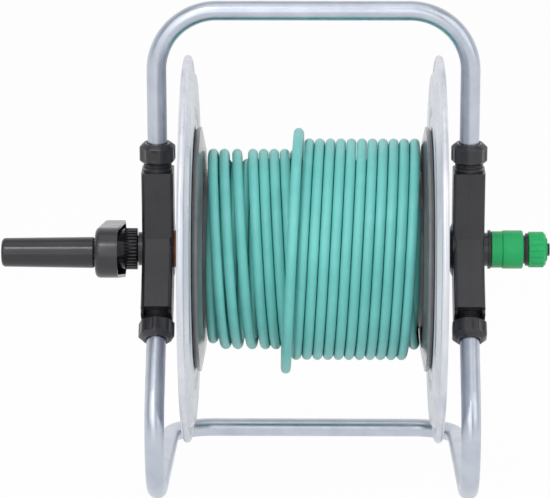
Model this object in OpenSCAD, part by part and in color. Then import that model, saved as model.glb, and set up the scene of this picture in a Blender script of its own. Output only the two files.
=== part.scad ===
// Free-standing garden hose reel: a bent tube frame with a carrying bow, two moulded side
// brackets, and a drum of pressed discs and moulded spool halves that a crank turns.
// Millimetres. +Z is up, +X is to the viewer's right, the crank end of the arm points to -Y.
// The origin is on the floor, straight below the middle of the drum's axis.

/* [Frame] */
// Outer diameter of the bent steel tube
tube_d = 19; // [18.5:0.5:20]
// Wall thickness of the tube
tube_wall = 1.5; // [1:0.25:2.5]
// Distance between the centre lines of the two legs
leg_span = 303; // [302.5:0.5:304]
// Height of the drum's axis above the floor
hub_z = 240; // [235:1:260]
// Length of the carrying bow from the axis to its top bar
bow_len = 239.5; // [230:0.5:260]
// Forward lean of the carrying bow, in degrees
bow_lean = 9; // [8:1:12]
// Forward lean of the lower legs, in degrees
leg_lean = 36; // [34:1:37]
// Bend radius of the bow's corners
bow_bend = 59; // [50:1:65]
// Bend radius where a leg turns onto the floor
foot_bend = 65; // [60:1:66]
// Bend radius of the rear floor corners
rear_bend = 46; // [40:1:52]
// Distance of the rear cross tube behind the drum's axis
rear_y = 250; // [240:0.5:256]

/* [Brackets] */
// Width of a moulded bracket, along the drum's axis
bracket_w = 31; // [30.5:0.5:32.5]
// Half depth of a bracket's upper arm
upper_half = 16; // [15:1:18]
// Half depth of a bracket's lower arm
lower_half = 22; // [20:1:23]
// Distance of an upper ring nut from the axis
upper_nut_at = 88.5; // [87:0.5:92]
// Distance of a lower ring nut from the axis
lower_nut_at = 79.5; // [79.5:0.5:82]
// Width of a ring nut across its corners
nut_d = 36; // [35.5:0.5:36.5]
// Length of a ring nut
nut_len = 20; // [19:0.5:21]

/* [Drum] */
// Outer diameter of the pressed discs
disc_d = 380; // [370:2:384]
// Distance of a disc's web from the drum's middle
disc_x = 120; // [120:0.5:121]
// Thickness of the sheet of a disc
sheet = 1; // [0.8:0.1:1.2]
// Diameter of the rolled rim of a disc
bead_d = 7.2; // [6:0.2:7.4]
// Outer diameter of the spool's flanges
flange_d = 240; // [239:1:244]
// Distance of a flange's outer face from the drum's middle
flange_x = 114.5; // [114:0.5:115]
// Width of a flange's rim
flange_w = 9; // [8:0.5:9]
// Outer diameter of the spool's barrel
barrel_d = 156; // [140:2:160]

/* [Hose] */
// Outer diameter of the hose
hose_d = 9.8; // [9:0.1:9.8]
// Step from one close turn to the next
hose_pitch = 10.3; // [10.3:0.1:10.4]
// Radius of the lower visible layer, to the hose's centre
layer_r = 93.6; // [90:0.1:93.8]
// Step from one layer to the next
layer_step = 10.3; // [10.3:0.1:10.5]
// How far a turn leans along the axis between its top and its bottom
hose_sway = 7.5; // [4:0.5:7.5]

/* [Crank] */
// Distance from the drum's axis to the grip's axis
crank_throw = 105; // [95:1:110]
// Angle of the arm above the horizontal, in degrees
crank_angle = 6.5; // [-180:0.5:180]
// Radius of the arm's hub end
arm_hub_r = 28; // [26:0.5:29]
// Radius of the arm's grip end
arm_tip_r = 24; // [20:0.5:25]
// Depth of the channel-shaped arm
arm_depth = 21.5; // [20:0.5:22]
// Diameter of the grip at the arm
grip_d = 29.6; // [26:0.2:30]
// Length of the grip with its cap
grip_len = 88; // [80:0.5:95]

/* [Connector] */
// Outer diameter of the release collar
collar_d = 37.6; // [35:0.2:38]
// Radius of the hose barb
barb_r = 6.2; // [6:0.1:6.4]
// Outer diameter of the clamp nut
clamp_d = 35; // [33:0.5:36]

/* [Hidden] */
$fn = 72;
fine = 96;
eps = 0.01;
fit = 0.05;
slack = 0.1;

tube_r = tube_d / 2;
bore_r = tube_r - tube_wall;
leg_x = leg_span / 2;
socket_at = 30;
rest_gap = 1;
lap = 0.4;
bend_thinning = 0.1;

// Bracket
bracket_in = leg_x - bracket_w / 2;
lower_w = bracket_w - 0.8;
upper_corner = 3;
lower_corner = 4;
web_inset = 2;
web_corner = 2;
upper_body = 81;
upper_collar = 84.5;
lower_body = 74;
lower_collar = 77;
cheek_end = 78.5;
cheek_t = 3;
cheek_half = 18;
neck_r = 13;
neck_in_nut = nut_len - 5.6;
collar_r = 14;
hub_bore = 17;
hub_mouth = 0.6;
boss_base_r = 26;
boss_tip_r = 17.5;
boss_h = 3.6;
outer_boss_r = 16.5;
hub_r = 21.3;
hub_step = 2.4;
seam_w = 0.6;
seam_depth = 0.5;
web_reach = 34;
web_root = 1;
seam_from = 25;

// Ring nuts and collets, measured from the nut's bracket end
nut_sides = 8;
nut_bore_len = nut_len - 4.8;
nut_cone_end = nut_len - 1.2;
nut_seat_r = 12.6;
nut_lip_r = 10.9;
nut_throat_r = tube_r + 0.4;
nut_base = [3.5, 2.5];
nut_nose = [5, 3.2];
upper_turns = [14, 38];
lower_turns = [5, 22.5];
collet_from = nut_len - 5.4;
collet_to = nut_len - 1.8;
collet_r = 12.2;
collet_tip_r = 10.95;
collet_slot = 2;

// Journal of the drum in the brackets
shaft_r = 12.95;
bush_bore = 13;
crank_flange_in = 132.2;
crank_flange_r = 18.1;
inlet_flange_in = 131.2;
inlet_flange_r = 16.2;
bush_out = 165;
spigot_x = 126;

// Discs
disc_hole = 22.2;
dish_h = 3;
dish_r = 44;
dish_run = 14;
press_h = 4.7;
press_r = 171;
ring_rs = [128];
ring_w = 12;
ring_h = 2;
rod_pcd_r = 34;
rod_r = 2.5;
rod_hole = 2.7;
rod_count = 4;
bolt_head_r = 5;
bolt_head_h = 2.6;
bolt_over = 5;
tie_nut_r = 4.6;
tie_nut_h = 4;
slit_r = 148;
slit_len = 12;
slit_w = 3;
slit_phase = 22;

// Spool halves
barrel_r = barrel_d / 2;
barrel_wall = 4;
plate_t = 4;
rim_t = 4;
rib_count = 8;
rib_t = 3;
rib_lap = 4;
rib_phase = 22.5;
pad_r = 42;
spigot_r = 22;
sleeve_r = 20;
rim_out = 2.6;
rim_in = [20, 4];
rib_root = 0.5;
flange_in = flange_x - flange_w;
square_side = 17;
square_from = 124;
square_to = 100;
square_gap = 0.2;
socket_end = 98;
sleeve_to = 88;

// Crank, as distances from the drum's middle
arm_out = 206;
arm_in = arm_out - arm_depth;
arm_plate = 4;
arm_wall = 3;
crank_boss_r = 19.7;
crank_boss_in = 172.2;
screw_r = 2.9;
screw_hole = 3.2;
screw_head_r = 6.5;
screw_sink_r = 7;
screw_sink = 7;
screw_to = 82;
nut_af_r = 5.6;
nut_h = 5;
spindle_r = 5;
spindle_head_r = 8;
spindle_head_h = 3;
rivet_r = 7;
rivet_h = 2;
tip_boss_r = 9;
tip_boss_h = 4;
arm_rib_w = 2.4;
arm_rib_at = 9;
arm_rib_depth = 9;
tangent_inset = 0.05;
hex_r = 3;
grip_in = arm_out + 0.8;
grip_end = arm_out + 1 + grip_len;
cap_h = 3.6;
cap_spigot = 1.4;
cap_r = 9;
grip_taper = 1.1;
grip_edge = 1.5;
head_gap = 0.3;
spindle_head_at = grip_end - cap_h - cap_spigot - spindle_head_h - head_gap;

// Inlet and swivel, as distances from the drum's middle
flange_plate_in = 171;
flange_plate_out = 173.7;
flange_plate_r = 19;
shank_r = 13;
shank_to = 99;
swivel_r = 9;
swivel_to = 79;
water_r = 4.5;
clip_x = 129.8;
clip_t = 1.2;
clip_groove_r = 11.8;
clip_r = 15.5;
seal_xs = [84, 91];
seal_w = 2.4;
seal_groove_r = 7.3;
elbow_r = 16;
elbow_from = 62;
elbow_to = 97.6;
spout_x = 72;
spout_phase = 45;
spout_r = 6;
spout_len = 24;
spout_collar = 2;
hose_bore = 3.2;
lead_from = 24.5;
lead_to = barrel_r - 0.3;
clamp_at = 33;
clamp_w = 6;
clamp_t = 1.5;

// Quick connector, as distances from the drum's middle
tail_base_r = 9.9;
tail_base_h = 2.8;
tail_groove_r = 8;
tail_lip_at = 6.3;
tail_lip_h = 2.5;
tail_lip_r = 9.6;
tail_tip_r = 7.5;
tail_len = 22.3;
tail_to = flange_plate_out + tail_len;
body_from = 175.4;
body_r = 14;
body_step = 183.4;
body_flange_from = 207.8;
body_flange_r = 16;
body_end = 210.2;
mouth_r = 10.3;
ring_from = 187;
ring_to = 189.6;
ring_r = 9.6;
claw_from = 177;
claw_to = 179.6;
claw_in = 8.3;
claw_a = 40;
claw_count = 3;
edge = 1;
collar_from = 174.3;
collar_to = 205.2;
collar_step = 186;
collar_mouth = [1.6, 0.6];
collar_flank = [0.9, 1.5];
notch_at = 25;
notch_w = 8;
notch_h = 1.4;
notch_depth = 0.6;
notch_back = 2.2;
thread_r = 12.9;
thread_to = 221;
hose_room_r = 9.6;
hose_room_from = 212;
barb_to = 231.5;
barb_bore = 4;
clamp_from = 210.6;
clamp_body_to = 227.5;
clamp_to = 229;
clamp_throat_r = 10.2;
clamp_edge = 0.8;
clamp_cone = 2.5;
clamp_lip = 1.2;
flute_count = 16;
flute_r = 1.6;

// The wound hose: where each turn of the left group passes the top, and the plan of the turns
left_first = -98;
left_steps = [11, 12.6, 15.5, hose_pitch, hose_pitch, hose_pitch, hose_pitch];
left_turns = len(left_steps);
link_turns = 2.5;
climb = 0.5;
right_from = left_turns + link_turns + climb;
right_first = 99;
flange_nudge = 1.2;
flange_nudge_turn = 0.2;
right_turns = 11;
top_turn = right_from + right_turns;
start_turn = -0.75;
start_drop = 9.7;
end_turn = top_turn + 0.625;
end_climb = 0.3;
end_lift = 6.6;
rings = 24;
sides = 6;
core_gap = 0.3;
core_r = (layer_r - hose_d / 2) * cos(180 / rings) - core_gap;
core_from = left_first + hose_d / 2 + 2 * core_gap;

// Fitting on the hose's free end, as distances from where the hose runs straight
end_throat_r = hose_d / 2 + 0.5;
end_mouth_r = 7;
end_nut_r = 11.4;
end_nut_from = 1;
end_nut_to = 19;
end_thread_r = 9;
end_thread_from = 10.2;
end_plate_from = 20;
end_plate_to = 22.6;
end_plate_r = 11;

steel_blue = [0.66, 0.70, 0.76];
zinc = [0.86, 0.87, 0.89];
moulded_black = [0.20, 0.20, 0.21];
deep_black = [0.12, 0.12, 0.13];
spool_grey = [0.40, 0.40, 0.41];
hose_teal = [0.38, 0.80, 0.72];
core_teal = [0.33, 0.62, 0.58];
bush_orange = [0.75, 0.31, 0.12];
fitting_green = [0.07, 0.66, 0.33];
fastener_steel = [0.72, 0.72, 0.74];
seal_black = [0.09, 0.09, 0.09];

// Places its children in the plane square to the drum's axis: local Z runs along the axis
module on_axis(x = 0) {
    translate([x, 0, hub_z]) rotate([90, 0, 90]) children();
}

// A ring on the drum's axis between two stations, with a bore of radius r_in
module ring(from, to, r_out, r_in) {
    on_axis(from) difference() {
        cylinder(r = r_out, h = to - from, $fn = fine);
        translate([0, 0, -1]) cylinder(r = r_in, h = to - from + 2, $fn = fine);
    }
}

// A rod on the drum's axis between two stations
module rod(from, to, r) {
    on_axis(from) cylinder(r = r, h = to - from, $fn = fine);
}

// Puts its children on the left side for side -1 and on the right side for side 1
module on_side(side) {
    if (side < 0) mirror([1, 0, 0]) children();
    else children();
}

// Local Z runs up the bow's leg or down the floor leg, from the drum's axis
module up_leg(x, t = 0) {
    translate([x, 0, hub_z]) rotate([bow_lean, 0, 0]) translate([0, 0, t]) children();
}
module down_leg(x, t = 0) {
    translate([x, 0, hub_z]) rotate([180 - leg_lean, 0, 0]) translate([0, 0, t]) children();
}

// A quarter or part of a tube bend that starts on local +X and turns towards local +Y
module bend(radius, angle, d) {
    rotate_extrude(angle = angle, $fn = fine) translate([radius, 0]) circle(d = d, $fn = 48);
}

// The run of the carrying bow, in its own leaning plane. The bends are drawn a hair slimmer, as
// bent tube is, and the straight lengths run a little way over them.
module upper_run(d) {
    leg = bow_len - bow_bend - socket_at;
    bar = 2 * (leg_x - bow_bend);
    up_leg(0) {
        for (side = [-1, 1]) on_side(side) {
            translate([leg_x, 0, socket_at]) cylinder(d = d, h = leg + lap, $fn = 48);
            translate([leg_x - bow_bend, 0, bow_len - bow_bend]) rotate([90, 0, 0])
                bend(bow_bend, 90, d - bend_thinning);
        }
        translate([-bar / 2 - lap, 0, bow_len]) rotate([0, 90, 0])
            cylinder(d = d, h = bar + 2 * lap, $fn = 48);
    }
}

// The run of the base: legs, foot bends, floor runners, rear corners and cross tube
module base_run(d) {
    leg_foot = (hub_z - tube_r) / cos(leg_lean);
    tangent = foot_bend * tan((90 + leg_lean) / 2);
    foot_y = -leg_foot * sin(leg_lean) + tangent;
    runner = rear_y - rear_bend - foot_y;
    bar = 2 * (leg_x - rear_bend);
    for (side = [-1, 1]) on_side(side) {
        down_leg(leg_x, socket_at)
            cylinder(d = d, h = leg_foot - tangent - socket_at + lap, $fn = 48);
        translate([leg_x, foot_y, tube_r + foot_bend]) rotate([0, 90, 180])
            bend(foot_bend, 90 + leg_lean, d - bend_thinning);
        translate([leg_x, foot_y - lap, tube_r]) rotate([-90, 0, 0])
            cylinder(d = d, h = runner + 2 * lap, $fn = 48);
        translate([leg_x - rear_bend, rear_y - rear_bend, tube_r])
            bend(rear_bend, 90, d - bend_thinning);
    }
    translate([-bar / 2 - lap, rear_y, tube_r]) rotate([0, 90, 0])
        cylinder(d = d, h = bar + 2 * lap, $fn = 48);
}

module upper_bow() {
    color(steel_blue) difference() {
        upper_run(tube_d);
        upper_run(2 * bore_r);
    }
}

module base_bow() {
    color(steel_blue) difference() {
        base_run(tube_d);
        base_run(2 * bore_r);
    }
}

// A rectangle with round corners, centred on the origin
module round_rect(w, d, r) {
    square([w - 2 * r, d], center = true);
    square([w, d - 2 * r], center = true);
    for (sx = [-1, 1], sy = [-1, 1])
        translate([sx * (w / 2 - r), sy * (d / 2 - r)]) circle(r = r, $fn = 32);
}

// The web that fills the bracket's back between its two arms, in the plane square to the axis
module back_web() {
    up = [-sin(bow_lean), cos(bow_lean)];
    down = [-sin(leg_lean), -cos(leg_lean)];
    back_up = web_reach * up + upper_half * [cos(bow_lean), sin(bow_lean)];
    back_down = web_reach * down + lower_half * [cos(leg_lean), -sin(leg_lean)];
    back_mid = [lower_half + web_corner, -web_corner];
    polygon([[-web_root, 0], back_down, back_mid, back_up]);
}

// The bracket's round hub: a cone of height boss towards the drum, a barrel, and a low boss that
// meets the inlet's plate outside
module bracket_hub(boss) {
    w = bracket_w;
    end = flange_plate_in - bracket_in;
    on_axis(bracket_in) rotate_extrude($fn = fine) polygon([
        [0, -boss], if (boss > 0) [boss_tip_r, -boss], [boss_base_r, 0], [hub_r, 2 * hub_step],
        [hub_r, w - 2 * hub_step], [outer_boss_r, w - hub_step],
        [outer_boss_r, end], [0, end]
    ]);
}

// One moulded bracket, drawn on the right side, with a coned boss of height boss
module bracket(boss) {
    difference() {
        union() {
            up_leg(leg_x) linear_extrude(upper_body)
                round_rect(bracket_w, 2 * upper_half, upper_corner);
            up_leg(leg_x) cylinder(r = collar_r, h = upper_collar, $fn = fine);
            up_leg(leg_x) cylinder(r = neck_r, h = upper_nut_at + neck_in_nut, $fn = fine);
            down_leg(leg_x) linear_extrude(lower_body)
                round_rect(lower_w, 2 * lower_half, lower_corner);
            down_leg(leg_x) linear_extrude(cheek_end) difference() {
                round_rect(lower_w, 2 * cheek_half, lower_corner);
                square([lower_w - 2 * cheek_t, 2 * cheek_half + 1], center = true);
            }
            down_leg(leg_x) cylinder(r = collar_r, h = lower_collar, $fn = fine);
            down_leg(leg_x) cylinder(r = neck_r, h = lower_nut_at + neck_in_nut, $fn = fine);
            on_axis(bracket_in + web_inset) linear_extrude(bracket_w - 2 * web_inset) back_web();
            bracket_hub(boss);
        }
        up_leg(leg_x, socket_at - rest_gap) cylinder(r = tube_r + fit, h = bow_len, $fn = fine);
        down_leg(leg_x, socket_at - rest_gap) cylinder(r = tube_r + fit, h = bow_len, $fn = fine);
        rod(inlet_flange_in, bush_out, hub_bore);
        rod(inlet_flange_in, flange_plate_in + 1, shaft_r + hub_mouth);
        up_leg(leg_x, seam_from) translate([-seam_w / 2, -upper_half - 1, 0])
            cube([seam_w, 1 + seam_depth, bow_len]);
        down_leg(leg_x, seam_from) translate([-seam_w / 2, lower_half - seam_depth, 0])
            cube([seam_w, 1 + seam_depth, bow_len]);
    }
}

module bracket_left() { color(moulded_black) on_side(-1) bracket(0); }
module bracket_right() { color(moulded_black) on_side(1) bracket(boss_h); }

// A ring nut around the tube: a polygon with chamfered ends, a threaded bore and a conical seat
module ring_nut(turn) {
    r = nut_d / 2;
    difference() {
        intersection() {
            rotate([0, 0, turn]) cylinder(r = r, h = nut_len, $fn = nut_sides);
            rotate_extrude($fn = fine) polygon([
                [0, 0], [r - nut_base[0], 0], [r + slack, nut_base[1] + slack],
                [r + slack, nut_len - nut_nose[1] - slack], [r - nut_nose[0], nut_len],
                [0, nut_len]
            ]);
        }
        rotate_extrude($fn = fine) polygon([
            [0, -1], [neck_r + slack, -1], [neck_r + slack, nut_bore_len],
            [nut_seat_r, nut_bore_len], [nut_lip_r, nut_cone_end],
            [nut_throat_r, nut_cone_end], [nut_throat_r, nut_len + 1], [0, nut_len + 1]
        ]);
    }
}

module upper_nut_left() {
    color(moulded_black) up_leg(-leg_x, upper_nut_at) ring_nut(upper_turns[0]);
}
module upper_nut_right() {
    color(moulded_black) up_leg(leg_x, upper_nut_at) ring_nut(upper_turns[1]);
}
module lower_nut_left() {
    color(moulded_black) down_leg(-leg_x, lower_nut_at) ring_nut(lower_turns[0]);
}
module lower_nut_right() {
    color(moulded_black) down_leg(leg_x, lower_nut_at) ring_nut(lower_turns[1]);
}

// The split gripping ring that a nut presses onto the tube
module collet() {
    difference() {
        rotate_extrude($fn = fine) polygon([
            [tube_r + fit, collet_from], [collet_r, collet_from],
            [collet_r, nut_bore_len], [collet_tip_r, collet_to], [tube_r + fit, collet_to]
        ]);
        translate([0, -collet_slot / 2, 0]) cube([nut_d, collet_slot, nut_len]);
    }
}

module upper_collet_left() { color(deep_black) up_leg(-leg_x, upper_nut_at) collet(); }
module upper_collet_right() { color(deep_black) up_leg(leg_x, upper_nut_at) collet(); }
module lower_collet_left() { color(deep_black) down_leg(-leg_x, lower_nut_at) collet(); }
module lower_collet_right() { color(deep_black) down_leg(leg_x, lower_nut_at) collet(); }

// A bush in a bracket's bore, with a flange of radius r from x = from to the face at x = seat
module bush(bore, r, from, seat) {
    ring(from, seat - eps, r, bore);
    ring(from, bush_out - slack, hub_bore - slack, bore);
}

module crank_bush() {
    color(bush_orange) on_side(-1) bush(bush_bore, crank_flange_r, crank_flange_in, bracket_in);
}
module inlet_bush() {
    color(deep_black) bush(shank_r + slack, inlet_flange_r, inlet_flange_in, bracket_in - boss_h);
}

// The plug that a snap connector grips, along local Z: base, groove, lip and tip
module plug_tail() {
    translate([0, 0, -1]) cylinder(r = tail_base_r, h = tail_base_h + 1, $fn = fine);
    cylinder(r = tail_groove_r, h = tail_lip_at + 1, $fn = fine);
    translate([0, 0, tail_lip_at]) cylinder(r = tail_lip_r, h = tail_lip_h, $fn = fine);
    cylinder(r = tail_tip_r, h = tail_len, $fn = fine);
}

// The inlet: an outer plug for the connector, a plate, a shank and the swivel spigot
module inlet_nipple() {
    color(deep_black) difference() {
        union() {
            rod(swivel_to, shank_to + 1, swivel_r);
            rod(shank_to, flange_plate_in + 1, shank_r);
            rod(flange_plate_in, flange_plate_out, flange_plate_r);
            on_axis(flange_plate_out) plug_tail();
        }
        rod(swivel_to - 1, tail_to + 1, water_r);
        ring(clip_x, clip_x + clip_t, shank_r + 1, clip_groove_r);
        for (x = seal_xs) ring(x, x + seal_w, swivel_r + 1, seal_groove_r);
    }
}

module nipple_clip() {
    color(fastener_steel) difference() {
        ring(clip_x + fit, clip_x + clip_t - fit, clip_r, clip_groove_r + fit);
        translate([clip_x - 1, -clip_groove_r / 2, hub_z])
            cube([clip_t + 2, clip_groove_r, clip_r + 1]);
    }
}

module swivel_seals() {
    color(seal_black) for (x = seal_xs)
        ring(x + fit, x + seal_w - fit, swivel_r, seal_groove_r + fit);
}

// The pressed disc on the right: dished centre, two pressed rings, slits and a rolled rim
module disc() {
    web_r = disc_d / 2 - bead_d;
    bead_r = disc_d / 2 - bead_d / 2;
    face = [
        [disc_hole, dish_h], [dish_r, dish_h], [dish_r + dish_run, -press_h],
        for (r = ring_rs) each [
            [r, -press_h], [r + ring_h, ring_h - press_h],
            [r + ring_w - ring_h, ring_h - press_h], [r + ring_w, -press_h]
        ],
        [press_r, -press_h], [press_r + press_h, 0], [web_r + 1, 0]
    ];
    on_axis(disc_x) difference() {
        rotate_extrude($fn = fine) {
            polygon([each face, for (i = [len(face) - 1:-1:0]) face[i] + [0, sheet]]);
            translate([bead_r, bead_d / 2 - 1]) circle(d = bead_d, $fn = 48);
        }
        for (i = [0:rod_count - 1]) rotate(i * 360 / rod_count)
            translate([rod_pcd_r, 0, -1]) cylinder(r = rod_hole, h = bead_d + 2);
        for (i = [0:rod_count - 1]) rotate(90 - slit_phase + i * 360 / rod_count)
            translate([slit_r, 0, -press_h]) {
                cube([slit_w, slit_len - slit_w, bead_d], center = true);
                for (s = [-1, 1]) translate([0, s * (slit_len - slit_w) / 2, -1])
                    cylinder(d = slit_w, h = bead_d, $fn = 24);
            }
    }
}

module disc_left() { color(zinc) on_side(-1) disc(); }
module disc_right() { color(zinc) on_side(1) disc(); }

// One half of the spool without what its hub holds: flange, ribs, disc seat and half a barrel
module spool_shell() {
    r = flange_d / 2;
    difference() {
        union() {
            on_axis(0) rotate_extrude($fn = fine) polygon([
                [0, flange_in], [r - rim_in[0], flange_in], [r, flange_in + rim_in[1]],
                [r, flange_x - rim_out], [r - rim_out, flange_x], [r - rim_t, flange_x],
                [r - rim_t, flange_in + rim_in[1] + plate_t - rib_root],
                [r - rim_in[0], flange_in + plate_t], [0, flange_in + plate_t]
            ]);
            ring(0, flange_in + 1, barrel_r, barrel_r - barrel_wall);
            rod(flange_in, disc_x + dish_h, pad_r);
            rod(flange_in, spigot_x, spigot_r);
            rod(sleeve_to, flange_in + 1, sleeve_r);
            for (i = [0:rib_count - 1]) on_axis(flange_in + plate_t - rib_root)
                rotate(i * 360 / rib_count + rib_phase) translate([pad_r - rib_lap, -rib_t / 2, 0])
                    cube([r - pad_r, rib_t, flange_w - plate_t + rib_root]);
        }
        on_axis(flange_in - 1) for (i = [0:rod_count - 1]) rotate(i * 360 / rod_count)
            translate([rod_pcd_r, 0, 0]) cylinder(r = rod_hole, h = spigot_x);
    }
}

module spool_left() {
    color(spool_grey) on_side(-1) difference() {
        spool_shell();
        rod(square_from - square_gap, spigot_x + 1, shaft_r + slack);
        translate([socket_end, -square_side / 2 - slack, hub_z - square_side / 2 - slack])
            cube([square_from - socket_end, square_side + 2 * slack, square_side + 2 * slack]);
        rod(sleeve_to - 1, socket_end + 1, screw_hole);
        on_axis(sleeve_to - 1) cylinder(r = nut_af_r + slack, h = nut_h + 1, $fn = 6);
    }
}

module spool_right() {
    color(spool_grey) difference() {
        spool_shell();
        rod(elbow_to, spigot_x + 1, shank_r + fit);
        rod(sleeve_to - 1, elbow_to + eps, elbow_r + slack);
        on_axis(spout_x) rotate([0, 0, spout_phase]) rotate([0, 90, 0])
            cylinder(r = hose_d / 2 + slack, h = barrel_d);
    }
}

module tie_bolts() {
    color(fastener_steel) for (i = [0:rod_count - 1]) on_axis(0) rotate(i * 360 / rod_count)
        translate([rod_pcd_r, 0, 0]) {
            seat = disc_x + dish_h + sheet;
            translate([0, 0, -seat]) cylinder(r = rod_r, h = 2 * seat + bolt_over);
            translate([0, 0, -seat - bolt_head_h]) cylinder(r = bolt_head_r, h = bolt_head_h);
        }
}

module tie_nuts() {
    color(fastener_steel) for (i = [0:rod_count - 1])
        on_axis(disc_x + dish_h + sheet) rotate(i * 360 / rod_count)
            translate([rod_pcd_r, 0, 0]) difference() {
                cylinder(r = tie_nut_r, h = tie_nut_h, $fn = 6);
                translate([0, 0, -1]) cylinder(r = rod_r + fit, h = tie_nut_h + 2);
            }
}

// The rotating elbow that takes the water from the axis out to the hose
module hub_elbow() {
    color(deep_black) difference() {
        union() {
            rod(elbow_from, elbow_to, elbow_r);
            spout(0, elbow_r + spout_collar, spout_r);
            spout(0, elbow_r + spout_len, hose_bore);
        }
        rod(swivel_to - 1, elbow_to + 1, swivel_r + fit);
        rod(spout_x, swivel_to, water_r);
        spout(0, elbow_r + spout_len + 1, hose_bore - 1);
    }
}

// A rod that stands out from the axis in the elbow's spout direction
module spout(from, to, r) {
    on_axis(spout_x) rotate([0, 0, spout_phase]) rotate([0, 90, 0])
        translate([0, 0, from]) cylinder(r = r, h = to - from);
}

module inner_hose() {
    color(hose_teal) difference() {
        spout(lead_from, lead_to, hose_d / 2);
        spout(lead_from - 1, lead_to + 1, hose_bore + slack / 2);
    }
}

module hose_clamp() {
    color(fastener_steel) difference() {
        spout(clamp_at, clamp_at + clamp_w, hose_d / 2 + clamp_t);
        spout(clamp_at - 1, clamp_at + clamp_w + 1, hose_d / 2 + slack / 2);
    }
}

// The inner layers of the hose, as one plain body under the layers that show
module hose_core() {
    color(core_teal) ring(core_from, flange_in, core_r, barrel_r + slack);
}

// Running total of the first n entries of a list
function total(v, n) = n <= 0 ? 0 : v[n - 1] + total(v, n - 1);

// Where the hose lies along the axis, against the number of turns, before the lean is added
turn_table = [
    [start_turn - 1, left_first],
    for (i = [0:left_turns]) [i, left_first + total(left_steps, i)],
    [left_turns + link_turns, right_first + flange_nudge],
    [right_from - flange_nudge_turn, right_first + flange_nudge],
    [right_from, right_first],
    [end_turn + 1, right_first - (end_turn + 1 - right_from) * hose_pitch]
];

// The left group leans one way, the right group the other, and the hidden link not at all
function lean_sign(u) = u < 0 ? 0 : u <= left_turns ? 1 : u <= right_from ? 0 : -1;
function ease(t) = (1 - cos(180 * max(0, min(1, t)))) / 2;
function turn_x(u) = lookup(u, turn_table) + lean_sign(u) * hose_sway * (1 - cos(360 * u)) / 2;
function turn_r(u) = layer_r - start_drop * (1 - ease((u - start_turn) / climb))
    + layer_step * (ease((u - right_from + climb) / climb) + ease((u - top_turn + climb) / climb))
    + end_lift * ease((u - end_turn + end_climb) / end_climb);
function on_turn(u) = [turn_x(u), -turn_r(u) * sin(360 * u), hub_z + turn_r(u) * cos(360 * u)];
function unit(v) = v / norm(v);

// The hose's centre line: straight for one diameter at each end, and rings along the turns. The
// start dips beneath the first turn, and the free end runs on square to the drum's radius.
turn_rings = round((end_turn - start_turn) * rings);
turn_path = [for (i = [0:turn_rings]) on_turn(start_turn + i / rings)];
start_run = hose_d * unit(turn_path[0] - turn_path[1]);
end_run = hose_d * [0, -cos(360 * end_turn), -sin(360 * end_turn)];
hose_path = [turn_path[0] + start_run, each turn_path, turn_path[turn_rings] + end_run];

// The least distance between two turns, less the hose's diameter
function least_gap() = min([
    for (i = [0:turn_rings], k = [1:floor(end_turn) + 1], d = [-2:2])
        let (j = i + k * rings + d) if (j <= turn_rings) norm(turn_path[i] - turn_path[j])
]) - hose_d;

// Triangles between two neighbouring rings of points
function band(i) = [for (j = [0:sides - 1]) let (
        a = i * sides + j, b = i * sides + (j + 1) % sides, c = a + sides, d = b + sides
    ) each [[a, b, d], [a, d, c]]];

module hose_winding() {
    last = len(hose_path) - 1;
    points = [for (i = [0:last]) let (
            p = hose_path[i],
            t = unit(hose_path[min(i + 1, last)] - hose_path[max(i - 1, 0)]),
            out = [0, p[1], p[2] - hub_z],
            n = unit(out - (out * t) * t),
            b = cross(t, n)
        ) for (j = [0:sides - 1]) p + hose_d / 2 * (cos(360 * j / sides) * n + sin(360 * j / sides) * b)];
    faces = [
        for (i = [0:last - 1]) each band(i),
        for (j = [1:sides - 2]) [0, j + 1, j],
        for (j = [1:sides - 2]) [last * sides, last * sides + j, last * sides + j + 1]
    ];
    echo(hose_least_gap = least_gap(), loops = end_turn - start_turn);
    color(hose_teal) polyhedron(points = points, faces = faces);
}

// Local Z runs on from the hose's free end, square to the drum's radius
module at_hose_end(s = 0) {
    on_axis(turn_x(end_turn)) rotate([0, 0, 360 * end_turn + 90])
        translate([turn_r(end_turn), s, 0]) rotate([-90, 0, 0]) children();
}

// Flutes around a hose nut of radius r, along local Z
module flutes(r, from, length) {
    for (i = [0:flute_count - 1]) rotate([0, 0, i * 360 / flute_count])
        translate([r + flute_r / 2, 0, from]) cylinder(r = flute_r, h = length, $fn = 24);
}

module end_nut() {
    r = end_nut_r;
    color(fitting_green) at_hose_end() difference() {
        rotate_extrude($fn = fine) polygon([
            [end_throat_r, end_nut_from], [end_mouth_r, end_nut_from],
            [r, end_nut_from + r - end_mouth_r], [r, end_nut_to - edge], [r - edge, end_nut_to],
            [end_thread_r + slack, end_nut_to], [end_thread_r + slack, end_thread_from - slack],
            [end_throat_r, end_thread_from - slack]
        ]);
        flutes(r, end_nut_from + r - end_mouth_r, end_nut_to);
    }
}

module end_plug() {
    color(deep_black) difference() {
        union() {
            at_hose_end(end_thread_from) cylinder(r = end_thread_r,
                h = end_plate_from - end_thread_from + 1, $fn = fine);
            at_hose_end(end_plate_from) cylinder(r = end_plate_r, h = end_plate_to - end_plate_from,
                $fn = fine);
            at_hose_end(end_plate_to) plug_tail();
        }
        at_hose_end(end_thread_from - 1) cylinder(r = water_r, h = end_plate_to + tail_len,
            $fn = fine);
    }
}

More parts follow.
